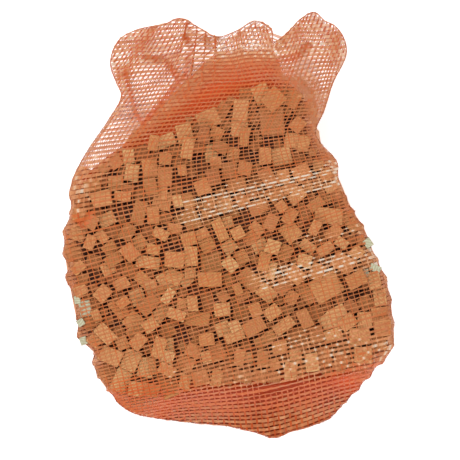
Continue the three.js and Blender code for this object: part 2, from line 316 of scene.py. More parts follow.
# Sticks that stand proud where the photograph shows them: x, y, sides, turn and tone of the sawn end.
PROUD_HEIGHT = 167
PROUD_STICKS = [
    (38, 150, 19, 21, 25, 0.75), (14, 131, 17, 24, -6, 0.8), (-23, 121, 25, 20, 22, 0.6),
    (74, 144, 16, 20, -32, 0.3), (-50, 104, 18, 22, 12, 0.7), (50, 119, 27, 32, 4, 0.12),
    (13, 112, 19, 21, 0, 0.85), (61, 78, 22, 20, 12, 0.85), (-20, 82, 14, 20, 8, 0.88),
    (-86, -78, 29, 14, -73, 0.7), (-104, -83, 16, 18, 20, 0.8), (-126, -96, 24, 14, -50, 0.4),
    (-106, -113, 26, 20, -40, 0.55), (-79, -103, 30, 14, 52, 0.65), (-92, -43, 27, 14, -8, 0.8),
    (-138, -50, 15, 15, 25, 0.75), (-105, -188, 19, 16, -5, 0.9), (-68, -138, 11, 16, 5, 0.85),
    (-87, -162, 9, 20, 5, 0.6), (-70, -66, 18, 24, 30, 0.7), (-49, -63, 15, 15, 40, 0.75),
    (126, -104, 21, 21, 28, 0.88), (36, -24, 17, 14, 25, 0.85), (25, -15, 16, 14, 35, 0.4),
    (71, -8, 20, 22, 40, 0.5), (91, -25, 18, 12, -35, 0.65), (111, -28, 20, 12, 33, 0.6),
    (112, -71, 34, 28, 30, 0.55), (115, 10, 32, 18, -5, 0.6), (-139, 6, 19, 15, 25, 0.85),
    (-76, 27, 21, 20, -10, 0.55), (-103, -21, 18, 16, 35, 0.55), (-72, 96, 22, 14, 20, 0.85),
    (-164, -96, 13, 18, 10, BLEACHED), (156, -57, 10, 12, 10, BLEACHED),
]

# Sticks at the edge with bleached ends, given in the same way.
PALE_HEIGHT = 168
PALE_STICKS = [
    (160, -21, 9, 10, 35, BLEACHED), (168, -50, 13, 8, -25, BLEACHED), (177, -118, 10, 6, -20, BLEACHED),
    (-173, -86, 7, 9, 10, BLEACHED), (-169, -112, 8, 8, 30, BLEACHED), (-166, -133, 8, 9, 20, BLEACHED),
]

# Wide gaps between the sticks, where the core's painted shade shows dark: x, y, sides and turn.
DARK_GAPS = [
    (-32, 72, 15, 26, 10), (-42, 42, 15, 22, 0), (-68, 50, 34, 12, 16), (-121, 16, 16, 12, 16),
    (-160, -30, 18, 11, 12), (-120, -31, 12, 20, 0), (-59, 19, 16, 14, 10), (-66, -27, 24, 11, 10),
    (-155, -61, 12, 15, 10), (-36, -67, 20, 16, 30), (-130, -105, 9, 24, 30), (-53, -125, 15, 18, 20),
    (19, 6, 16, 22, -10), (60, -5, 9, 18, -35), (92, -2, 10, 14, 20), (124, -4, 28, 7, -10),
    (131, -37, 22, 12, 15), (146, -79, 20, 10, 10), (33, -144, 12, 13, 0), (108, -141, 18, 16, 0),
    (46, 95, 14, 18, 0), (67, 113, 8, 20, 10), (26, 106, 6, 20, 0), (22, 78, 16, 17, 40),
    (-16, 110, 14, 12, 20), (4, 52, 18, 8, 15), (8, 100, 16, 9, 10),
]

# Colours: stops of a tone and its colour.
# The palest tape colours serve the painted sheen and glints.
TAPE_COLOURS = [
    (0.0, (0.66, 0.105, 0.02)), (0.2, (0.76, 0.18, 0.045)), (0.4, (0.63, 0.215, 0.078)),
    (0.6, (0.82, 0.34, 0.14)), (0.8, (0.90, 0.53, 0.30)), (1.0, (0.95, 0.82, 0.66)),
]
# Colours of the doubled net; the darkest stops are painted shade.
FILM_AND_SHADE_COLOURS = [
    (0.0, (0.29, 0.034, 0.01)), (0.2, (0.64, 0.075, 0.016)), (0.45, (0.90, 0.14, 0.03)),
    (0.85, (0.84, 0.28, 0.11)), (1.0, (0.87, 0.46, 0.26)),
]
BLEACHED_STOP = (1.0, (0.64, 0.65, 0.46))
RED_WOOD = [
    (0.0, (0.46, 0.15, 0.045)), (0.45, (0.68, 0.262, 0.09)), (0.9, (0.78, 0.41, 0.165)), BLEACHED_STOP,
]
YELLOW_WOOD = [
    (0.0, (0.50, 0.22, 0.06)), (0.45, (0.72, 0.34, 0.105)), (0.9, (0.82, 0.53, 0.23)), BLEACHED_STOP,
]
WHITE = (1, 1, 1)
RING_SHADES = [(0.0, (0.78, 0.68, 0.58)), (1.0, WHITE)]
FIBRE_SHADES = [(0.3, (0.7, 0.62, 0.55)), (0.62, WHITE)]
# Painted shade for the middle of the bundle.
CORE_SHADE_COLOURS = [(0.46, (0.05, 0.016, 0.009)), (0.62, (0.24, 0.08, 0.028))]
# Painted shadow line at the edges of the sawn ends.
EDGE_SHADE_COLOUR = (0.52, 0.38, 0.28, 1)
GRAIN_SQUASH = (1, 1, 0.03)
RING_STRENGTH = 0.8
FIBRE_STRENGTH = 0.6

# Studio: lights by name, place in metres, size and power.
FLOOR_REACH = 4
WORLD_STRENGTH = 0.55
LIGHTS = (("key", (-0.25, 0.35, 1.7), 0.5, 10), ("fill", (0.2, -1.3, 1.1), 0.8, 5))

# Camera: straight above, at the photograph's scale.
PHOTO_SCALE = 1.15
PHOTO_SIZE = 460
CAMERA_HEIGHT = 4000
CAMERA_PLANE = 150
CAMERA_AIM = (1.7, -6.1)
SENSOR = 36
CAMERA_REACH = 20

random = np.random.default_rng(SEED)


# Plane geometry

def travelled(line):
    """How far along the line each of its places is."""
    return np.concatenate([[0], np.cumsum(np.linalg.norm(np.diff(line, axis=0), axis=1))])


def places_on(line, distances):
    """Places on the line at the given distances along it."""
    along = travelled(line)
    return np.stack([np.interp(distances, along, line[:, axis]) for axis in (0, 1)], axis=1)


def open_curve(points, count):
    """Evenly spaced points on an open line."""
    line = np.array(points, float)
    return places_on(line, np.linspace(0, travelled(line)[-1], count))


def closed_curve(points, count):
    """Evenly spaced points on a smooth closed curve through the given ones."""
    corner = np.array(points, float)
    size = len(corner)
    share = np.linspace(0, 1, CURVE_STEPS, endpoint=False)[:, None]
    square = share * share
    cube = square * share
    dense = []
    for index in range(size):
        before, start, end, after = (corner[(index + step) % size] for step in (-1, 0, 1, 2))
        spans = ((before, start), (start, end), (end, after))
        first, middle, last = (max(np.linalg.norm(b - a), TINY) ** 0.5 for a, b in spans)
        leave = (start - before) / first - (end - before) / (first + middle) + (end - start) / middle
        arrive = (end - start) / middle - (after - start) / (middle + last) + (after - end) / last
        dense.append(start * (2 * cube - 3 * square + 1) + end * (3 * square - 2 * cube)
                     + leave * middle * (cube - 2 * square + share) + arrive * middle * (cube - square))
    line = np.concatenate([*dense, dense[0][:1]])
    return places_on(line, np.linspace(0, travelled(line)[-1], count, endpoint=False))


def grown(ring, distance):
    """The ring moved outward from the middle of the plan."""
    length = np.linalg.norm(ring, axis=1, keepdims=True)
    return ring * (length + distance) / length


def inside(ring, points):
    """Which of the points lie inside the closed ring."""
    x, y = points.T
    flags = np.zeros(len(points), bool)
    for (ax, ay), (bx, by) in zip(ring, np.roll(ring, -1, axis=0)):
        crosses = (ay > y) != (by > y)
        if crosses.any():
            flags ^= crosses & (x < ax + (y - ay) * (bx - ax) / (by - ay))
    return flags


def nearest_on(ring, points):
    """The nearest place on the ring for each point, and how far it is."""
    edge = np.roll(ring, -1, axis=0) - ring
    square = (edge ** 2).sum(1)
    places = np.empty_like(points)
    far = np.empty(len(points))
    for low in range(0, len(points), CHUNK):
        part = points[low:low + CHUNK]
        share = np.clip(((part[:, None] - ring) * edge).sum(2) / square, 0, 1)
        foot = ring + share[..., None] * edge
        gap = np.linalg.norm(part[:, None] - foot, axis=2)
        best = gap.argmin(1)
        rows = np.arange(len(part))
        places[low:low + CHUNK] = foot[rows, best]
        far[low:low + CHUNK] = gap[rows, best]
    return places, far


def near_line(line, points):
    """How far each point is from an open line."""
    least = np.full(len(points), np.inf)
    for start, end in zip(np.array(line[:-1], float), np.array(line[1:], float)):
        edge = end - start
        share = np.clip((points - start) @ edge / (edge @ edge), 0, 1)
        least = np.minimum(least, np.linalg.norm(points - start - share[:, None] * edge, axis=1))
    return least


def smooth_step(low, high, value):
    """0 at the low value, 1 at the high one and smooth between them."""
    share = np.clip((value - low) / (high - low), 0, 1)
    return share * share * (3 - 2 * share)


def nearness(place, centre, reach):
    """1 at the centre, falling smoothly to 0 well beyond the reach."""
    return math.exp(-(np.linalg.norm(place - centre) / reach) ** 2)


# Rings and the sack's form

def knobbly(ring):
    """The ring with small bumps along the bundle, where corners of sticks press on the net."""
    along = np.cumsum(np.linalg.norm(np.diff(ring, axis=0, prepend=ring[-1:]), axis=1))
    sway = KNOB_SWAY * np.sin(along / KNOB_SWAY_RUN)
    bumps = 0.5 - np.abs(np.sin(along / KNOB_RUN + sway))
    side = smooth_step(*KNOB_TOP, ring[:, 1]) * smooth_step(*KNOB_FOOT, ring[:, 1])
    return grown(ring, (KNOB_DEPTH * bumps * side)[:, None])


sack_ring = closed_curve(SACK_POINTS, OUTLINE_COUNT)
MIDDLE = (sack_ring.min(0) + sack_ring.max(0)) / 2
sack_ring = knobbly(sack_ring - MIDDLE)
bundle_ring = closed_curve(BUNDLE_POINTS, OUTLINE_COUNT)
wall_ring = grown(bundle_ring, WALL_OFFSET) - MIDDLE
bundle_ring = bundle_ring - MIDDLE


def slack_share(points):
    """1 on the bundle, falling to 0 where the net lies flat."""
    _, away = nearest_on(wall_ring, points)
    away[inside(wall_ring, points)] = 0
    run = np.where(points[:, 1] > 0, MOUTH_RUN, TAIL_RUN)
    return np.clip(1 - away / run, 0, 1) ** SLACK_POWER


def pleats(points):
    """Relief of the gathered mouth: creases that lean with the columns of each ear."""
    creases = np.sin(points[:, 0] / CREASE_RUN[0] - points[:, 1] / CREASE_RUN[1])
    return PLEAT_DEPTH * np.sin(mouth_phase(points)) + CREASE_DEPTH * creases


def slack_levels(points):
    """Heights of the net's front and back where nothing lies under it."""
    full = slack_share(points)
    level = np.where(points[:, 1] > 0, MOUTH_HEIGHT, TAIL_HEIGHT)
    pleat = pleats(points) * (1 - full)
    front = (level + SLACK_THICKNESS / 2 + pleat) * (1 - full) + WALL_HEIGHT * full
    back = (level - SLACK_THICKNESS / 2 + pleat) * (1 - full) + BACK_LIFT
    return front, back


# Sticks that are read from the solid

Stick = namedtuple("Stick", "ring plane tone")


def plane_height(plane, points):
    """Height of a sawn end's plane at each point."""
    slope_x, slope_y, level = plane
    return slope_x * points[:, 0] + slope_y * points[:, 1] + level


def hull(points):
    """Corners of the smallest convex ring round the points, counter-clockwise."""
    ordered = sorted({tuple(point) for point in points})

    def half(line):
        kept = []
        for x, y in line:
            while len(kept) > 1:
                (ax, ay), (bx, by) = kept[-2:]
                if (bx - ax) * (y - ay) - (by - ay) * (x - ax) > 0:
                    break
                kept.pop()
            kept.append((x, y))
        return kept[:-1]

    return np.array(half(ordered) + half(ordered[::-1]))


def parted(pieces):
    """The pieces of one plane, in two groups where they reach too far to be one sawn end."""
    points = np.concatenate(pieces)[:, :2]
    middle = points.mean(0)
    axis = np.linalg.svd(points - middle, full_matrices=False)[2][0]
    reach = (points - middle) @ axis
    if np.ptp(reach) < LONGEST_END:
        return [pieces]
    half = (reach.max() + reach.min()) / 2
    beyond = [(piece[:, :2].mean(0) - middle) @ axis > half for piece in pieces]
    groups = [[piece for piece, far in zip(pieces, beyond) if far == wanted] for wanted in (False, True)]
    return [group for group in groups if group]


def stick_ends():
    """The sawn ends of the firewood solid: one ring of corners and one plane for each stick."""
    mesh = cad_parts["firewood"].data
    place = np.array([vertex.co for vertex in mesh.vertices]) / MM
    groups = {}
    for polygon in mesh.polygons:
        corners = place[list(polygon.vertices)]
        if polygon.normal.z < FLATTEST_END or corners[:, 2].min() < CORE_TOP:
            continue
        normal = np.array(polygon.normal)
        level = normal @ corners.mean(0)
        key = (round(normal[0] / PLANE_STEP), round(normal[1] / PLANE_STEP), round(level))
        near = [other for other in groups if max(abs(a - b) for a, b in zip(key, other)) < 2]
        groups.setdefault(near[0] if near else key, []).append(corners)
    ends = []
    for corners in [part for pieces in groups.values() for part in parted(pieces)]:
        points = np.concatenate(corners)
        ring = hull(points[:, :2].round(2))
        if len(ring) < 3:
            continue
        terms = np.c_[points[:, :2], np.ones(len(points))]
        plane = np.linalg.lstsq(terms, points[:, 2], rcond=None)[0]
        ends.append(Stick(ring, plane, None))
    return sorted(ends, key=lambda end: tuple(end.ring.mean(0)))


# Height of the net's front over the whole plan

grid_points = np.stack(np.meshgrid(GRID_X, GRID_Y, indexing="ij"), axis=2).reshape(-1, 2)


def front_height(sticks):
    """A tight film over the stick ends that runs into the slack of the mouth and the tail."""
    held = ~inside(grown(wall_ring, NET_EASE), grid_points)
    within = inside(wall_ring, grid_points)
    props = np.full(len(grid_points), NO_PROP)
    for stick in sticks:
        centre = stick.ring.mean(0)
        under = within & inside(centre + (stick.ring - centre) * PROP_GROWTH, grid_points)
        height = plane_height(stick.plane, grid_points) + NET_CLEARANCE
        props = np.where(under, np.maximum(props, height), props)
    rest = np.maximum(slack_levels(grid_points)[0], props)
    sag = np.where(within, SAG, EDGE_SAG)
    film = np.where(held, rest, props.max())
    shape = (len(GRID_X), len(GRID_Y))
    held, props, rest, sag, film = (values.reshape(shape) for values in (held, props, rest, sag, film))
    for _ in range(RELAX_ROUNDS):
        mean = sum(np.roll(film, step, axis) for axis in (0, 1) for step in (1, -1)) / 4
        film = np.where(held, rest, np.maximum(props, mean - sag))
    return film


def sample(grid, points):
    """The grid's value at each point, between its four neighbours."""
    across = np.clip((points[:, 0] - GRID_X[0]) / GRID_STEP, 0, len(GRID_X) - GRID_END)
    along = np.clip((points[:, 1] - GRID_Y[0]) / GRID_STEP, 0, len(GRID_Y) - GRID_END)
    i = across.astype(int)
    j = along.astype(int)
    u = across - i
    v = along - j
    return ((grid[i, j] * (1 - u) + grid[i + 1, j] * u) * (1 - v)
            + (grid[i, j + 1] * (1 - u) + grid[i + 1, j + 1] * u) * v)


# Lie of the weave in plan

def row_tilt(along):
    """Tilt of the rows at distances along the sack."""
    upper = (TILT_HIGH - TILT_LOW) * smooth_step(*TILT_RUN, along)
    tail = (TILT_TAIL - TILT_LOW) * smooth_step(*TILT_TAIL_RUN, along)
    return TILT_LOW + upper + tail


def row_places():
    """Distances of the rows along the sack: wider in the mouth, and closer down the slope of the tail."""
    rows = [ROW_RANGE[0]]
    while rows[-1] < ROW_RANGE[1]:
        pitch = WEFT_PITCH
        if rows[-1] < TAIL_FROM:
            pitch = WEFT_PITCH_TAIL
        elif rows[-1] > MOUTH_FROM:
            pitch = WEFT_PITCH_MOUTH
        rows.append(rows[-1] + pitch)
    return np.array(rows)


def plan_weave(across, along):
    """Plan places of the crossings: rows tilt with the sack, and columns follow the two guides."""
    tilt = row_tilt(along)
    direction = np.stack([np.cos(tilt), np.sin(tilt)], axis=1)
    upward = np.stack([-np.sin(tilt), np.cos(tilt)], axis=1)
    start = np.searchsorted(along, 0)
    spine = np.cumsum(upward * np.gradient(along)[:, None], axis=0)
    spine = spine - spine[start] + SPINE_START
    limits = []
    for guide in (LEFT_GUIDE, RIGHT_GUIDE):
        places = np.array(guide, float) - spine[:, None]
        ahead = (places * upward[:, None]).sum(2)
        aside = (places * direction[:, None]).sum(2)
        limit = np.array([np.interp(0, *row) for row in zip(ahead, aside)])
        limit[:start] = limit[start]
        limits.append(limit)
    left, right = limits
    narrow = (right - left) / (right[start] - left[start])
    shift = left - left[start] * narrow
    offset = shift + across[:, None] * narrow
    return spine + offset[..., None] * direction - MIDDLE


def mouth_phase(points):
    """Place across the folds of the gathered mouth, which lean with the columns of each ear."""
    x, y = points.T
    lean = sum(most * smooth_step(*reach, x) for most, reach in EAR_LEANS)
    return (x - lean * y) / GATHER_WAVE


def gathered(points):
    """The points with the columns of the mouth drawn together in folds."""
    x, y = points.T
    slack = smooth_step(*GATHER_Y, y)
    aside = GATHER * slack * np.cos(mouth_phase(points))
    ahead = GATHER_ALONG * slack * np.sin(x / GATHER_ALONG_RUN[0] + y / GATHER_ALONG_RUN[1])
    return np.stack([x + aside, y + ahead], axis=1)


def turned(points, angle):
    """The points turned about the middle of the mouth."""
    centre = np.array([0, MOUTH_FROM])
    cos, sin = math.cos(angle), math.sin(angle)
    return (points - centre) @ np.array([[cos, sin], [-sin, cos]]) + centre


def weave_plan(shift=(0, 0), turn=0):
    """Plan places of one layer's crossings, column by column."""
    plan = plan_weave(COLUMNS + shift[0], row_places() + shift[1])
    points = gathered(turned(plan.reshape(-1, 2), turn))
    draped = smooth_step(TAIL_DRAPE_FROM, TAIL_TIP[1], points[:, 1])
    aside = (points[:, 0] - TAIL_TIP[0]) / TAIL_DRAPE_WIDTH
    points[:, 1] -= TAIL_DRAPE * draped * np.exp(-aside ** 2)
    return points


def crossings(points, height, shown, columns=len(COLUMNS)):
    """Places of the crossings by column and row, not-a-number where none is shown."""
    place = np.c_[points, height]
    place[~shown] = np.nan
    return place.reshape(columns, -1, 3)


def front_lattice(front_grid):
    """Crossings of the front, down to its hem and wrapped over the edge of the sack."""
    points = weave_plan()
    x, y = points.T
    in_flap = (x > FRONT_HEM_X[0]) & (x < FRONT_HEM_X[1]) & (y > FRONT_HEM_Y)
    within = inside(sack_ring, points)
    edge, beyond = nearest_on(sack_ring, points)
    edge_top = sample(front_grid, edge)
    wrapped = ~within & (beyond < np.minimum(edge_top - slack_levels(edge)[1], WRAP))
    height = np.where(wrapped, edge_top - beyond, sample(front_grid, points))
    return crossings(np.where(wrapped[:, None], edge, points), height, wrapped | within & ~in_flap)


def back_lattice():
    """Crossings of the back, which lies flat under the bundle."""
    points = weave_plan(UNDER_SHIFT, BACK_TURN)
    return crossings(points, slack_levels(points)[1], inside(sack_ring, points))


def fold_lattice(front_grid, folds, shift, turn, drop):
    """Crossings of the doubled net along folds, a little under the front."""
    points = weave_plan(shift, turn)
    near = np.any([near_line(line, points) < half_width for line, half_width in folds], axis=0)
    return crossings(points, sample(front_grid, points) - drop, near & inside(sack_ring, points))


def wall_lattice(front_grid):
    """Crossings of the net down the sides: rows fall from the edge of the front, and columns run round."""
    closed = np.vstack([sack_ring, sack_ring[:1]])
    length = travelled(closed)[-1]
    rows = np.arange(0, length + WEFT_PITCH, WEFT_PITCH)
    falls = np.arange(0, WALL_HEIGHT, WARP_PITCH / 2)
    plan = places_on(closed, (rows + WALL_LEAN * falls[:, None]).ravel() % length)
    height = sample(front_grid, plan) - np.repeat(falls, len(rows))
    return crossings(plan, height, height >= slack_levels(plan)[1], len(falls))


def lattice_normals(place):
    """Outward direction of the net at each crossing."""
    def change(axis):
        ahead = np.roll(place, -1, axis)
        behind = np.roll(place, 1, axis)
        both = ahead - behind
        one = np.where(np.isnan(ahead), place - behind, ahead - place)
        return np.where(np.isnan(both), one, both)
    normal = np.cross(change(0), change(1))
    size = np.linalg.norm(normal, axis=2, keepdims=True)
    normal = normal / np.where(size > TINY, size, np.nan)
    return np.where(np.isnan(normal), UP, normal)


# Tapes

class MeshParts:
    """Strips of faces gathered in one mesh, with a tone at each point."""

    def __init__(self):
        self.parts = []
        self.size = 0

    def add(self, points, faces, tones):
        self.parts.append((points, faces + self.size, tones))
        self.size += len(points)

    def build(self, name, material, smooth=False):
        points, faces, tones = (np.concatenate(arrays) for arrays in zip(*self.parts))
        return mesh_object(name, points, faces, {"tone": tones}, material, smooth)


def unit(vectors):
    """The vectors with a length of 1."""
    return vectors / (np.linalg.norm(vectors, axis=1, keepdims=True) + TINY)


def add_tape(parts, centre, normal, width, roll, tone):
    """A flat ribbon along a line of places, rolled about that line."""
    tangent = unit(np.gradient(centre, axis=0))
    side = unit(np.cross(normal, tangent))
    up = np.cross(tangent, side)
    half = (side * np.cos(roll)[:, None] + up * np.sin(roll)[:, None]) * width[:, None] / 2
    points = np.stack([centre - half, centre + half], 1).reshape(-1, 3)
    first = 2 * np.arange(len(centre) - 1)[:, None]
    parts.add(points, np.hstack([first, first + 1, first + 3, first + 2]), np.repeat(tone, 2))


def mesh_object(name, points, faces, looks, material, smooth=False):
    """A piece from places in millimetres, with its looks as attributes of its points."""
    mesh = bpy.data.meshes.new(name)
    mesh.from_pydata(points * MM, [], faces, shade_flat=not smooth)
    mesh.validate()
    for key, values in looks.items():
        kind, field = ("FLOAT_VECTOR", "vector") if values.ndim == 2 else ("FLOAT", "value")
        layer = mesh.attributes.new(key, kind, "POINT")
        layer.data.foreach_set(field, values.astype(np.float32).ravel())
    mesh.materials.append(material)
    piece = bpy.data.objects.new(name, mesh)
    bpy.context.scene.collection.objects.link(piece)
    return piece


def wander(count, amount, reach):
    """A random line that changes slowly, for the roll of a tape or the waver of an edge."""
    coarse = random.normal(0, amount, count // reach + 3)
    return np.interp(np.arange(count) / reach, np.arange(len(coarse)), coarse)


def band_strength(bands, points):
    """Strongest of the bands at each place."""
    most = np.zeros(len(points))
    for line, half_width, strength in bands:
        inner, outer = (share * half_width for share in BAND_EDGE)
        most = np.maximum(most, strength * (1 - smooth_step(inner, outer, near_line(line, points))))
    return most


def fold_strength(strength, points):
    """Strength of the nearest fold at each place."""
    return band_strength([(line, half_width, strength) for line, half_width in FOLDS], points)


def closeness(points):
    """How nearly the tapes meet: along the edge of the bundle, in folds and where the net is doubled."""
    _, from_edge = nearest_on(sack_ring, points)
    rim = RIM_CLOSE * (1 - smooth_step(*RIM_REACH, from_edge))
    rim *= RIM_SLACK + (1 - RIM_SLACK) * slack_share(points)
    return np.maximum(np.maximum(rim, fold_strength(FOLD_CLOSE, points)), band_strength(CLOSE_BANDS, points))


def deepening_and_shade(points):
    """How much deeper the tapes' colour is at each place: doubled net, with painted shade in folds, the
    mouth and the tail.
    """
    return np.maximum(fold_strength(FOLD_DEPTH_AND_SHADE, points), band_strength(DEEP_AND_SHADED_BANDS, points))


def tape_runs(place):
    """Stretches of a tape that have no gap or jump in them."""
    joined = np.linalg.norm(np.diff(place, axis=0), axis=1) <= LONGEST_STEP
    change = np.diff(np.concatenate([[0], joined.astype(int), [0]]))
    for low, high in zip(np.where(change == 1)[0], np.where(change == -1)[0] + 1):
        if high - low >= FEWEST_CROSSINGS:
            yield slice(low, high)


def lay_tape(parts, place, normal, lift, width, roll, tone):
    """One tape through its crossings, over and under the others, with a ribbon for each stretch."""
    line = place + normal * lift[:, None]
    for part in tape_runs(place):
        add_tape(parts, line[part], normal[part], width[part], roll[part], tone[part])


def tape_tones(state, shine, tight_range, slack_range):
    """Tones along one tape, from its tone over the bundle to its tone where the net is slack, deepened with
    painted shade and made paler with painted sheen and glints.
    """
    slack, pale, deep_and_shade, close = state
    count = len(slack)
    tight_tone = random.uniform(*tight_range)
    slack_tone = random.uniform(*slack_range)
    # Deeper colour of doubled net, with painted shade.
    base = tight_tone + (slack_tone - tight_tone) * slack - deep_and_shade
    base += random.normal(0, TONE_WAVER, count) * (TIGHT_WAVER + slack)
    # Painted glints: random specks painted paler.
    base += PAINTED_GLINT * (random.uniform(0, 1, count) < PAINTED_GLINT_SHARE + PAINTED_GLINT_CLOSE * close)
    return np.clip(base + pale * shine * random.uniform(LEAST_SHINE, 1, count), 0, 1)


def weave_layer(warps, wefts, place, sign, closes):
    """Tapes through the crossings of one layer, with closer parts and painted sheen if it closes."""
    normal = lattice_normals(place) * sign
    shape = place.shape[:2]
    plan = np.nan_to_num(place[:, :, :2]).reshape(-1, 2)
    slack = 1 - slack_share(plan)
    pale, close = np.zeros((2, len(plan)))
    if closes:
        # Painted sheen: tapes painted paler in the bands where the net is drawn tight.
        pale = band_strength(PAINTED_SHEEN_BANDS, plan)
        close = closeness(plan)
    state = np.stack([slack, pale, deepening_and_shade(plan), close]).reshape(4, *shape)
    slack, _, _, close = state
    ahead = np.linalg.norm(np.gradient(place, axis=1), axis=2)
    pitch = np.clip(np.nan_to_num(ahead, nan=WEFT_PITCH), *PITCH_LIMITS)
    columns, rows = (np.arange(size) for size in shape)
    for column in columns[::2]:
        width = WARP_WIDTH * random.uniform(*WIDTH_SPREAD) * (1 + WARP_WIDENING * slack[column])
        width = width + WARP_CLOSING * close[column]
        tone = tape_tones(state[:, column], WARP_SHINE, *WARP_TONES)
        lift = WEAVE_LIFT * np.where((rows + column // 2) % 2, 1, -1)
        roll = wander(len(rows), *WARP_TWIST)
        lay_tape(warps, place[column], normal[column], lift, width, roll, tone)
    for row in rows:
        share = WEFT_WIDTH / WEFT_PITCH * random.uniform(*WIDTH_SPREAD) * (1 + WEFT_WIDENING * slack[:, row])
        width = pitch[:, row] * (share + (1 - share) * close[:, row])
        crossing = (columns // 2 + row) % 2
        # Painted sheen along the row, strongest where it passes over, in fine specks on some rows.
        shine = random.uniform(*ROW_SHINE) * np.where(crossing, UNDER_SHINE, 1)
        if random.uniform(0, 1) < FINE_ROWS:
            shine = shine * np.where(columns % 2, FINE_SHINE[1], FINE_SHINE[0])
        tone = tape_tones(state[:, :, row], shine, *WEFT_TONES)
        lift = WEAVE_LIFT * np.where(columns % 2, 0, np.where(crossing, -1, 1))
        roll = wander(len(columns), *WEFT_TWIST) * (1 - close[:, row])
        lay_tape(wefts, place[:, row], normal[:, row], lift, width, roll, tone)


def hem_tape(wefts, line, height):
    """A tape along an open line of places at the edge of the mouth."""
    count = len(line)
    up = np.tile(UP, (count, 1))
    tone = random.uniform(*HEM_TONES, count)
    add_tape(wefts, np.c_[line, height], up, np.full(count, HEM_WIDTH), np.zeros(count), tone)


# Doubled net, partly painted shade

def add_film(parts, first, last, rows, tones, first_height=None):
    """A strip between two lines of plan places, a little under the front, with a tone at each line."""
    count = len(first)
    share = np.linspace(0, 1, rows)[:, None, None]
    plan = (first * (1 - share) + last * share).reshape(-1, 2)
    height = slack_levels(plan)[0] - DOUBLED_DROP
    if first_height is not None:
        height[:count] = first_height
    inner, outer = (np.broadcast_to(tone, count) for tone in tones)
    corner = (np.arange(rows - 1)[:, None] * count + np.arange(count - 1)).reshape(-1, 1)
    faces = np.hstack([corner, corner + 1, corner + count + 1, corner + count])
    parts.add(np.c_[plan, height], faces, (inner + (outer - inner) * share[:, :, 0]).ravel())


def beside_bundle(line, inward):
    """Places on the bundle's wall on the rays to the given places, moved inward."""
    wall_turn, turn = (np.arctan2(places[:, 1], places[:, 0]) for places in (wall_ring, line))
    wall_size = np.linalg.norm(wall_ring, axis=1)
    size = np.interp(turn, wall_turn, wall_size, period=2 * math.pi) - inward
    return np.stack([np.cos(turn), np.sin(turn)], axis=1) * size[:, None]


def doubled_net_and_shade(film):
    """Strips from the top of the bundle's wall out to the edge of each doubled part; their darker tones are
    painted shade.
    """
    rim = sack_ring[sack_ring[:, 1] < RIM_DOUBLED_TOP]
    side = np.maximum(smooth_step(*RIM_SIDE_Y, rim[:, 1]), smooth_step(*RIM_SIDE_X, rim[:, 0]))
    rim_tones = [tail + (flank - tail) * side for tail, flank in zip(RIM_TAIL_SHADE_TONES, RIM_SIDE_TONES)]
    edges = [(open_curve(line, count), tones, EDGE_WAVER) for line, count, tones in DOUBLED_PARTS]
    for line, tones, waver in [*edges, (rim, rim_tones, 0)]:
        away = line / np.linalg.norm(line, axis=1, keepdims=True)
        outer = line - away * np.abs(wander(len(line), waver, EDGE_WAVER_RUN))[:, None]
        beside = beside_bundle(outer, -FILM_OFFSET)
        skirt = beside_bundle(outer, SKIRT_DEPTH)
        add_film(film, skirt, beside, 2, (tones[0], tones[0]), SKIRT_HEIGHT)
        add_film(film, beside, outer, FILM_STEPS, tones)


# Sticks that are placed, and the mesh of all sticks

def ring_at(x, y, long_side, short_side, turn):
    """The four corners of a sawn end."""
    angle = math.radians(turn)
    along = np.array([math.cos(angle), math.sin(angle)]) * long_side / 2
    aside = np.array([-math.sin(angle), math.cos(angle)]) * short_side / 2
    return np.array([x, y]) + np.array([-along - aside, along - aside, along + aside, aside - along])


def placed_sticks(entries, height):
    """Sticks given by place, sides, turn and tone, at about the given height."""
    sticks = []
    for *end, tone in entries:
        ring = ring_at(*end)
        slope = random.normal(0, END_SLOPE, 2)
        level = height + random.uniform(-END_SPREAD, END_SPREAD)
        sticks.append(Stick(ring, np.array([*slope, level - slope @ ring.mean(0)]), tone))
    return sticks


def clear_of(sticks, rings):
    """The sticks whose middle lies in none of the rings."""
    middles = np.array([stick.ring.mean(0) for stick in sticks])
    taken = np.any([inside(ring, middles) for ring in rings], axis=0)
    return [stick for stick, left_out in zip(sticks, taken) if not left_out]


def filler_sticks(sticks, gap_rings):
    """Lower sticks set down in the widest gaps between the others, but not where a gap is wanted."""
    points = grid_points[inside(grown(bundle_ring, -2 * WIDEST_GAP), grid_points)]
    rings = [stick.ring for stick in sticks] + gap_rings
    for ring in rings:
        points = points[~inside(ring, points)]
    gaps = np.min([near_line([*ring, ring[0]], points) for ring in rings], axis=0)
    fillers = []
    while gaps.max() > WIDEST_GAP:
        middle = points[gaps.argmax()]
        angle = random.uniform(0, math.pi / 2) + math.pi / 2 * np.arange(4)
        ring = middle + FILLER_REACH * gaps.max() * np.stack([np.cos(angle), np.sin(angle)], axis=1)
        plane = np.array([0, 0, random.uniform(*FILLER_HEIGHT)])
        # Painted shade: fillers take a darker range of tones.
        fillers.append(Stick(ring, plane, random.uniform(*FILLER_SHADED_TONE)))
        gaps = np.minimum(gaps, near_line([*ring, ring[0]], points))
        gaps[inside(ring, points)] = 0
    return fillers


def kept_inside(sticks):
    """The sticks with any corner outside the sack moved in to its edge."""
    limit = grown(sack_ring, -STICK_CLEARANCE)
    corners = np.concatenate([stick.ring for stick in sticks])
    stray = ~inside(limit, corners)
    corners[stray] = nearest_on(limit, corners[stray])[0]
    starts = np.cumsum([len(stick.ring) for stick in sticks])[:-1]
    return [stick._replace(ring=ring) for stick, ring in zip(sticks, np.split(corners, starts))]


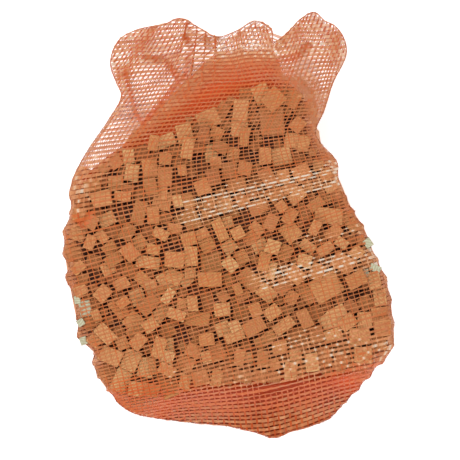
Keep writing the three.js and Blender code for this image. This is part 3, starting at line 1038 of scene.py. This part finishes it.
def blunted(corner):
    """The ring with each corner cut off by a small flat."""
    before = np.roll(corner, 1, axis=0)
    after = np.roll(corner, -1, axis=0)
    blunt = random.uniform(*CORNER_BLUNT, (len(corner), 1))
    flats = [corner + (before - corner) * blunt, corner + (after - corner) * blunt]
    return np.stack(flats, axis=1).reshape(-1, 2)


def stick_look(stick, centre):
    """Tone, hue and grain centre of a stick: darker with painted shade at the shaded place, yellower at the
    yellow one.
    """
    tone = np.clip(random.normal(*STICK_TONE), 0, PALEST)
    tone = max(tone - SHADED_DEPTH * nearness(centre, SHADED_PLACE, SHADED_REACH), 0)
    glow = nearness(centre, YELLOW_PLACE, YELLOW_REACH)
    hue = random.uniform(0, HUE_SPREAD) + (1 - HUE_SPREAD) * glow
    grain = centre + random.normal(0, GRAIN_SPREAD, 2)
    return tone if stick.tone is None else stick.tone, hue, grain


def stick_points(stick, centre, outline, bow, lean):
    """Rings of points from the foot to the sawn end, then the middle of the end and of the foot."""
    rings = []
    for share, shift in zip(RING_SHARES, bow + lean):
        ring = centre + (outline - centre) * random.uniform(*RING_SPREAD) + shift * (1 - share)
        rings.append(np.c_[ring, STICK_FOOT + (plane_height(stick.plane, ring) - STICK_FOOT) * share])
    for share, drop in ((EDGE_SHARE, EDGE_DROP), (FACE_SHARE, 0)):
        ring = centre + (outline - centre) * share
        rings.append(np.c_[ring, plane_height(stick.plane, ring) - drop])
    middle = np.c_[centre[None], plane_height(stick.plane, centre[None])]
    return np.vstack([*rings, middle, [*(centre + lean), STICK_FOOT]])


def stick_faces(count, rings, base):
    """Faces between the rings of one stick, and from its first and last ring to the middles."""
    sides = [(side, (side + 1) % count) for side in range(count)]
    faces = []
    for low in range(base, base + (rings - 1) * count, count):
        faces += [(low + a, low + b, low + b + count, low + a + count) for a, b in sides]
    crown = base + rings * count
    last = crown - count
    for a, b in sides:
        faces += [(last + a, last + b, crown), (base + b, base + a, crown + 1)]
    return faces


def stick_mesh(sticks):
    """Sticks with blunted corners and edges, each with its own tone and grain centre."""
    points = []
    faces = []
    looks = []
    base = 0
    for stick in sticks:
        centre = stick.ring.mean(0)
        outline = blunted(centre + (stick.ring - centre) * STICK_GROWTH)
        count = len(outline)
        bow = random.normal(0, STICK_BOW, (len(RING_SHARES), 2))
        tone, hue, grain = stick_look(stick, centre)
        bleached = stick.tone == BLEACHED
        lean = -BLEACHED_LEAN * bleached * centre / np.linalg.norm(centre)
        points.append(stick_points(stick, centre, outline, bow, lean))
        faces += stick_faces(count, len(RING_SHARES) + 2, base)
        size = len(points[-1])
        tones = np.full(size, tone)
        if bleached:
            tones[:(len(RING_SHARES) - 1) * count] = BLEACHED_SIDE
        # Painted shade: sides are darkened, the blunted edge darkest as a painted shadow line, and the sawn
        # face is clear.
        rim = np.full(size, SIDE_SHADE)
        rim[-2 * count - 2:-count - 2] = 1
        rim[-count - 2:-1] = 0
        grains = np.tile([*(grain * MM), 0], (size, 1))
        looks.append({"tone": tones, "hue": np.full(size, hue), "rim": rim, "grain": grains})
        base += size
    joined = {key: np.concatenate([look[key] for look in looks]) for key in looks[0]}
    return np.concatenate(points), faces, joined


def core_object():
    """The middle of the bundle, dark with painted shade, seen only down the gaps between the sticks."""
    ring = grown(bundle_ring, -CORE_INSET)[::CORE_STRIDE]
    count = len(ring)
    low = np.c_[ring, np.full(count, CORE_BOTTOM)]
    high = np.c_[ring, np.full(count, CORE_TOP - CORE_DROP)]
    faces = [(side, (side + 1) % count, (side + 1) % count + count, side + count) for side in range(count)]
    faces.append(tuple(range(count, 2 * count)))
    faces.append(tuple(range(count - 1, -1, -1)))
    return mesh_object("bundle_core", np.concatenate([low, high]), faces, {}, core_shade_material())


# Materials

def new_material(name):
    """A material with an output and a shader, and no other nodes."""
    material = bpy.data.materials.new(name)
    material.use_nodes = True
    tree = material.node_tree
    tree.nodes.clear()
    output = tree.nodes.new("ShaderNodeOutputMaterial")
    shader = tree.nodes.new("ShaderNodeBsdfPrincipled")
    tree.links.new(shader.outputs["BSDF"], output.inputs["Surface"])
    return material, tree, shader


def set_inputs(tree, node, inputs):
    """Link each input to the output given for it, or set it to the value given."""
    for key, value in inputs.items():
        if isinstance(value, bpy.types.NodeSocket):
            tree.links.new(value, node.inputs[key])
        else:
            node.inputs[key].default_value = value


def attribute(tree, name):
    node = tree.nodes.new("ShaderNodeAttribute")
    node.attribute_name = name
    return node.outputs


def vector_math(tree, operation, first, second):
    node = tree.nodes.new("ShaderNodeVectorMath")
    node.operation = operation
    set_inputs(tree, node, {0: first, 1: second})
    return node.outputs["Vector"]


def mixed(tree, factor, first, second, blend="MIX"):
    """The second colour mixed into the first one."""
    node = tree.nodes.new("ShaderNodeMix")
    node.data_type = "RGBA"
    node.blend_type = blend
    set_inputs(tree, node, {"Factor": factor, "A": first, "B": second})
    return node.outputs["Result"]


def ramped(tree, stops, factor):
    """The colour between the stops at the factor."""
    node = tree.nodes.new("ShaderNodeValToRGB")
    elements = node.color_ramp.elements
    while len(elements) < len(stops):
        elements.new(0.5)
    for element, (position, color) in zip(elements, stops):
        element.position = position
        element.color = (*color, 1)
    tree.links.new(factor, node.inputs["Fac"])
    return node.outputs["Color"]


def toned_material(name, stops, finish):
    """A material whose colour follows the tone of each point."""
    material, tree, shader = new_material(name)
    color = ramped(tree, stops, attribute(tree, "tone")["Fac"])
    set_inputs(tree, shader, {"Base Color": color, **finish})
    return material


def tape_material():
    finish = {"Roughness": 0.45, "Specular IOR Level": 0.2, "Alpha": 0.78}
    return toned_material("net_tape", TAPE_COLOURS, finish)


def film_and_shade_material():
    # Opaque doubled net, its dark tones painted shade.
    return toned_material("net_doubled_and_shade", FILM_AND_SHADE_COLOURS, {"Roughness": 0.6, "Specular IOR Level": 0.1})


def wood_material():
    """Wood with growth rings round each stick's grain centre, fine fibres, and painted shade on the sides
    with a painted shadow line at the edges.
    """
    material, tree, shader = new_material("kindling_wood")
    place = tree.nodes.new("ShaderNodeTexCoord").outputs["Object"]
    offset = vector_math(tree, "SUBTRACT", place, attribute(tree, "grain")["Vector"])
    squashed = vector_math(tree, "MULTIPLY", offset, GRAIN_SQUASH)
    rings = tree.nodes.new("ShaderNodeTexWave")
    rings.wave_type = "RINGS"
    rings.rings_direction = "Z"
    waves = {"Scale": 110, "Distortion": 2.5, "Detail": 2, "Detail Scale": 1.2}
    set_inputs(tree, rings, {"Vector": squashed, **waves})
    fibre = tree.nodes.new("ShaderNodeTexNoise")
    set_inputs(tree, fibre, {"Vector": squashed, "Scale": 420, "Detail": 4})
    ring_shade = ramped(tree, RING_SHADES, rings.outputs["Fac"])
    fibre_shade = ramped(tree, FIBRE_SHADES, fibre.outputs["Fac"])
    tone = attribute(tree, "tone")["Fac"]
    red = ramped(tree, RED_WOOD, tone)
    yellow = ramped(tree, YELLOW_WOOD, tone)
    tinted = mixed(tree, attribute(tree, "hue")["Fac"], red, yellow)
    # Painted shade: the rim attribute darkens the sides and edges.
    edge_shaded = mixed(tree, attribute(tree, "rim")["Fac"], tinted, EDGE_SHADE_COLOUR, "MULTIPLY")
    banded = mixed(tree, RING_STRENGTH, edge_shaded, ring_shade, "MULTIPLY")
    flecked = mixed(tree, FIBRE_STRENGTH, banded, fibre_shade, "MULTIPLY")
    bump = tree.nodes.new("ShaderNodeBump")
    set_inputs(tree, bump, {"Strength": 0.35, "Distance": 0.0006, "Height": fibre.outputs["Fac"]})
    set_inputs(tree, shader, {"Base Color": flecked, "Normal": bump.outputs["Normal"], "Roughness": 0.78})
    return material


def core_shade_material():
    material, tree, shader = new_material("bundle_shadow")
    noise = tree.nodes.new("ShaderNodeTexNoise")
    noise.inputs["Scale"].default_value = 30
    color = ramped(tree, CORE_SHADE_COLOURS, noise.outputs["Fac"])
    set_inputs(tree, shader, {"Base Color": color, "Roughness": 0.9})
    return material


def floor_material():
    material, tree, shader = new_material("studio_floor")
    glow = {"Emission Color": (*WHITE, 1), "Emission Strength": 0.72}
    set_inputs(tree, shader, {"Base Color": (0.92, 0.92, 0.92, 1), "Roughness": 0.9, **glow})
    return material


# Pieces

gap_rings = [ring_at(*gap) for gap in DARK_GAPS]
proud = placed_sticks(PROUD_STICKS, PROUD_HEIGHT)
sticks = clear_of(stick_ends(), [stick.ring for stick in proud] + gap_rings) + proud
sticks += filler_sticks(sticks, gap_rings)
sticks = kept_inside(sticks)
front_grid = front_height(sticks)
sticks += placed_sticks(PALE_STICKS, PALE_HEIGHT)

warps = MeshParts()
wefts = MeshParts()
folds = fold_lattice(front_grid, FOLDS, UNDER_SHIFT, FOLD_TURN, FOLD_DROP)
flap = fold_lattice(front_grid, [FLAP_FOLD], FLAP_SHIFT, FLAP_TURN, FLAP_DROP)
weave_layer(warps, wefts, front_lattice(front_grid), 1, True)
weave_layer(warps, wefts, wall_lattice(front_grid), 1, False)
weave_layer(warps, wefts, back_lattice(), -1, False)
weave_layer(warps, wefts, folds, 1, True)
weave_layer(warps, wefts, flap, 1, True)
mouth_edge = sack_ring[sack_ring[:, 1] > MOUTH_FROM]
hem_tape(wefts, mouth_edge, sample(front_grid, mouth_edge))
film = MeshParts()
doubled_net_and_shade(film)

tape = tape_material()
doubled = film.build("net_doubled_and_shade", film_and_shade_material(), smooth=True)
for piece in (doubled, warps.build("net_warp", tape), wefts.build("net_weft", tape)):
    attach(piece, "root")
    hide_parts("net")

bundle = mesh_object("sticks", *stick_mesh(sticks), wood_material())
core = core_object()
for piece in (bundle, core):
    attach(piece, "root")
    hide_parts("firewood")


# Studio

def studio():
    """Plain pale floor, soft light from above and in front, and the camera."""
    scene = bpy.context.scene
    scene.view_settings.view_transform = "Standard"
    scene.world = bpy.data.worlds.new("studio")
    scene.world.use_nodes = True
    background = scene.world.node_tree.nodes["Background"]
    background.inputs["Color"].default_value = (*WHITE, 1)
    background.inputs["Strength"].default_value = WORLD_STRENGTH

    corners = [(x * FLOOR_REACH, y * FLOOR_REACH, 0) for x, y in ((-1, -1), (1, -1), (1, 1), (-1, 1))]
    floor_mesh = bpy.data.meshes.new("floor")
    floor_mesh.from_pydata(corners, [], [(0, 1, 2, 3)])
    floor_mesh.materials.append(floor_material())
    floor = bpy.data.objects.new("floor", floor_mesh)
    scene.collection.objects.link(floor)

    target = bpy.data.objects.new("light_target", None)
    scene.collection.objects.link(target)
    for name, place, size, power in LIGHTS:
        light = bpy.data.lights.new(name, "AREA")
        light.shape = "DISK"
        light.size = size
        light.energy = power
        lamp = bpy.data.objects.new(name, light)
        lamp.location = place
        scene.collection.objects.link(lamp)
        aim = lamp.constraints.new("TRACK_TO")
        aim.target = target
        aim.track_axis = "TRACK_NEGATIVE_Z"
        aim.up_axis = "UP_Y"

    camera = bpy.data.cameras.new("camera")
    camera.sensor_width = SENSOR
    half_view = PHOTO_SCALE * PHOTO_SIZE / 2
    camera.lens = SENSOR / 2 * (CAMERA_HEIGHT - CAMERA_PLANE) / half_view
    camera.clip_end = CAMERA_REACH
    eye = bpy.data.objects.new("camera", camera)
    eye.location = np.array([*(CAMERA_AIM - MIDDLE), CAMERA_HEIGHT]) * MM
    scene.collection.objects.link(eye)
    scene.camera = eye


studio()
